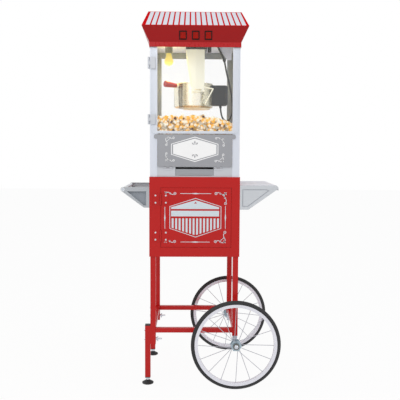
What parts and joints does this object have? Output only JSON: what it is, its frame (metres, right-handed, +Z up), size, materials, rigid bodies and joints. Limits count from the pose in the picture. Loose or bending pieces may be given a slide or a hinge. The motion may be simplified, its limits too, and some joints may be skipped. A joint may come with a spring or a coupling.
{
  "type": "popcorn cart",
  "caption": "Glazed popping case with a tilting kettle and striped roof on a red steel cabinet, which stands on legs, levelling feet and spoked wheels, with a push bar and a side shelf.",
  "frame": {"origin": "on the floor under the middle of the whole cart", "axes": "+Z up, the glass door and the cabinet door face -Y, the side shelf and the wheels are on the +X side"},
  "size_m": [0.6513, 0.5906, 1.56],
  "materials": {
    "black_metal": "satin black paint",
    "black_plastic": "moulded, matt",
    "bright_steel": "bright plated",
    "clear_glass": "clear toughened",
    "cord_rubber": "moulded rubber",
    "corn": "popped corn",
    "dark_cover": "dark grey powder coat",
    "foot_rubber": "moulded rubber",
    "galvanised": "bright zinc plated",
    "gloss_black": "moulded, glossy",
    "gray_sheet": "brushed stainless sheet",
    "lamp_glass": "frosted",
    "pale_coat": "pale satin powder coat",
    "red_paint": "gloss powder coat",
    "red_plastic": "moulded phenolic, glossy",
    "red_switch": "moulded, glossy",
    "red_white_paint": "gloss enamel with printed stripes",
    "silver_profile": "satin anodised",
    "stainless": "polished stainless",
    "tyre_rubber": "moulded rubber"
  },
  "bodies": {
    "cart": {"legs": "red_paint", "lower_rails": "red_paint", "foot_posts": "red_paint", "foot_post_caps": "black_plastic", "foot_post_bolts": "galvanised", "axle_brackets": "galvanised", "cabinet_front": "red_paint", "cabinet_wrap": "red_paint", "cabinet_floor": "red_paint", "cabinet_top": "red_paint", "cabinet_hinge_leaves": "red_paint", "door_catch": "black_plastic", "handle_bracket": "pale_coat", "push_bar": "galvanised", "side_shelf": "pale_coat", "side_fasteners": "galvanised", "case_base": "gray_sheet", "popcorn_deck": "gray_sheet", "case_frame": "silver_profile", "case_glass": "clear_glass", "case_hinge_leaves": "gray_sheet", "roof_canopy": "red_paint", "roof_lid": "red_white_paint", "switch_housings": "gloss_black", "ceiling_plate": "gray_sheet", "stir_motor": "black_metal", "lamp_holder": "black_plastic", "lamp_bulb": "lamp_glass", "ceiling_guard": "gray_sheet", "cord_fittings": "black_plastic", "drive_column": "stainless", "kettle_cord": "cord_rubber", "popcorn": "corn"},
    "front_wheel": {"front_tyre": "tyre_rubber", "front_rim": "bright_steel", "front_spokes": "bright_steel", "front_hub": "galvanised"},
    "rear_wheel": {"rear_tyre": "tyre_rubber", "rear_rim": "bright_steel", "rear_spokes": "bright_steel", "rear_hub": "galvanised"},
    "front_foot": {"levelling_foot_front": "foot_rubber"},
    "rear_foot": {"levelling_foot_rear": "foot_rubber"},
    "storage_door": {"cabinet_door": "red_white_paint", "door_hinge_leaves": "red_paint"},
    "glass_door": {"door_glass": "clear_glass", "door_glass_clips": "gray_sheet"},
    "flap": {"serving_flap": "gray_sheet"},
    "drawer": {"crumb_drawer": "gray_sheet"},
    "heat_rocker": {"rocker_heat": "red_switch"},
    "motor_rocker": {"rocker_motor": "red_switch"},
    "light_rocker": {"rocker_light": "red_switch"},
    "kettle": {"kettle_pot": "stainless", "kettle_frame": "stainless", "kettle_grip": "red_plastic", "terminal_cover": "dark_cover", "kettle_lid_fixed": "stainless"},
    "kettle_lid": {"kettle_lid_hinged": "stainless"},
    "stir_arm": {"stirrer": "stainless"},
    "stir_drive": {"drive_shaft": "stainless"}
  },
  "joints": [
    {"name": "front_wheel_spin", "type": "hinge", "parent": "cart", "child": "front_wheel", "pos_m": [0.14335, -0.262, 0.1823], "axis": [0, 1, 0], "continuous": true},
    {"name": "rear_wheel_spin", "type": "hinge", "parent": "cart", "child": "rear_wheel", "pos_m": [0.14335, 0.262, 0.1823], "axis": [0, 1, 0], "continuous": true},
    {"name": "front_foot_turn", "type": "hinge", "parent": "cart", "child": "front_foot", "pos_m": [-0.21665, -0.1905, 0.01], "axis": [0, 0, 1], "continuous": true},
    {"name": "rear_foot_turn", "type": "hinge", "parent": "cart", "child": "rear_foot", "pos_m": [-0.21665, 0.1905, 0.01], "axis": [0, 0, 1], "continuous": true},
    {"name": "storage_door_hinge", "type": "hinge", "parent": "cart", "child": "storage_door", "pos_m": [-0.1634, -0.2093, 0.6935], "axis": [0, 0, 1], "range_deg": [-110, 0]},
    {"name": "glass_door_hinge", "type": "hinge", "parent": "cart", "child": "glass_door", "pos_m": [-0.21215, -0.2025, 1.203], "axis": [0, 0, 1], "range_deg": [-110, 0]},
    {"name": "flap_hinge", "type": "hinge", "parent": "cart", "child": "flap", "pos_m": [-0.02565, -0.2005, 0.897], "axis": [1, 0, 0], "range_deg": [0, 88]},
    {"name": "drawer_slide", "type": "slide", "parent": "cart", "child": "drawer", "axis": [0, -1, 0], "range_m": [0, 0.2]},
    {"name": "heat_switch_rock", "type": "hinge", "parent": "cart", "child": "heat_rocker", "pos_m": [-0.07495, -0.21264, 1.42411], "axis": [1, 0, 0], "range_deg": [0, 12]},
    {"name": "motor_switch_rock", "type": "hinge", "parent": "cart", "child": "motor_rocker", "pos_m": [-0.02445, -0.21264, 1.42411], "axis": [1, 0, 0], "range_deg": [0, 12]},
    {"name": "light_switch_rock", "type": "hinge", "parent": "cart", "child": "light_rocker", "pos_m": [0.02605, -0.21264, 1.42411], "axis": [1, 0, 0], "range_deg": [0, 12]},
    {"name": "kettle_tilt", "type": "hinge", "parent": "cart", "child": "kettle", "pos_m": [-0.02465, 0, 1.246], "axis": [0, 1, 0], "range_deg": [-60, 0], "deforming": ["kettle_cord"]},
    {"name": "kettle_lid_hinge", "type": "hinge", "parent": "kettle", "child": "kettle_lid", "pos_m": [-0.04815, 0, 1.2533], "axis": [0, 1, 0], "range_deg": [0, 80]},
    {"name": "drive_spin", "type": "hinge", "parent": "cart", "child": "stir_drive", "pos_m": [-0.03115, 0, 1.289], "axis": [0, 0, 1], "continuous": true},
    {"name": "stirrer_spin", "type": "hinge", "parent": "kettle", "child": "stir_arm", "pos_m": [-0.03115, 0, 1.199], "axis": [0, 0, 1], "continuous": true}
  ],
  "couplings": [
    {"joint": "stirrer_spin", "follows": "drive_spin", "ratio": 1}
  ]
}
